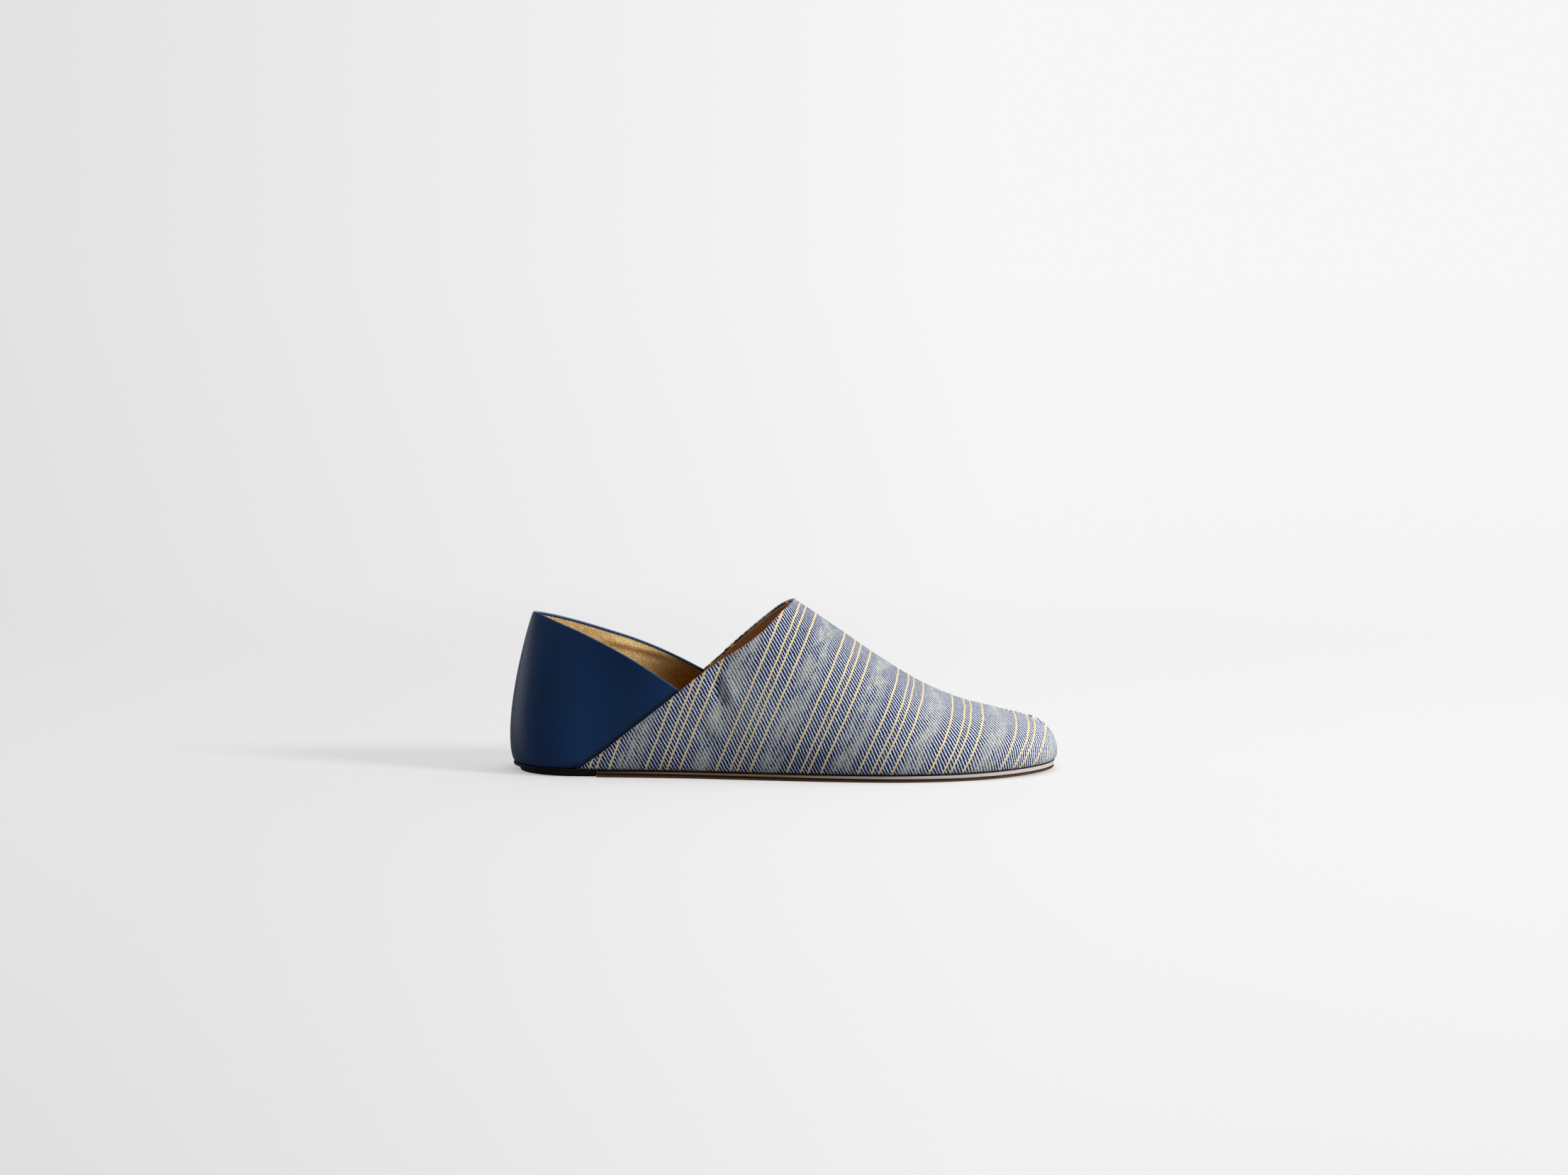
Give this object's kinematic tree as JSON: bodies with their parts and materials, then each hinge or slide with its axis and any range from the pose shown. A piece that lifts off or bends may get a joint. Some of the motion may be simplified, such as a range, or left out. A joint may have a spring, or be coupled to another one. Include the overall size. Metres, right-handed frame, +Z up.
{
  "type": "slip-on slipper",
  "caption": "Right slip-on slipper with a high navy leather heel quarter, a striped cloth vamp and a thin layered leather sole.",
  "frame": {"origin": "middle of the slipper's box, on the floor that it stands on", "axes": "+X from heel to toe, -Y to the outer side of the foot, +Z up"},
  "size_m": [0.2654, 0.0964, 0.0818],
  "materials": {
    "outsole_leather": "vegetable-tanned sole leather, pale cut edge",
    "heel_rubber": "matt black",
    "rand_leather": "black dyed edge, low gloss",
    "insole_leather": "tan suede nap",
    "navy_leather": "smooth navy calf, soft sheen",
    "striped_denim": "coarse indigo twill with fine pale yellow stripes"
  },
  "bodies": {
    "root": {"outsole": "outsole_leather", "heel_piece": "heel_rubber", "rand": "rand_leather", "insole": "insole_leather", "upper": "navy_leather", "vamp": "striped_denim"}
  },
  "joints": []
}
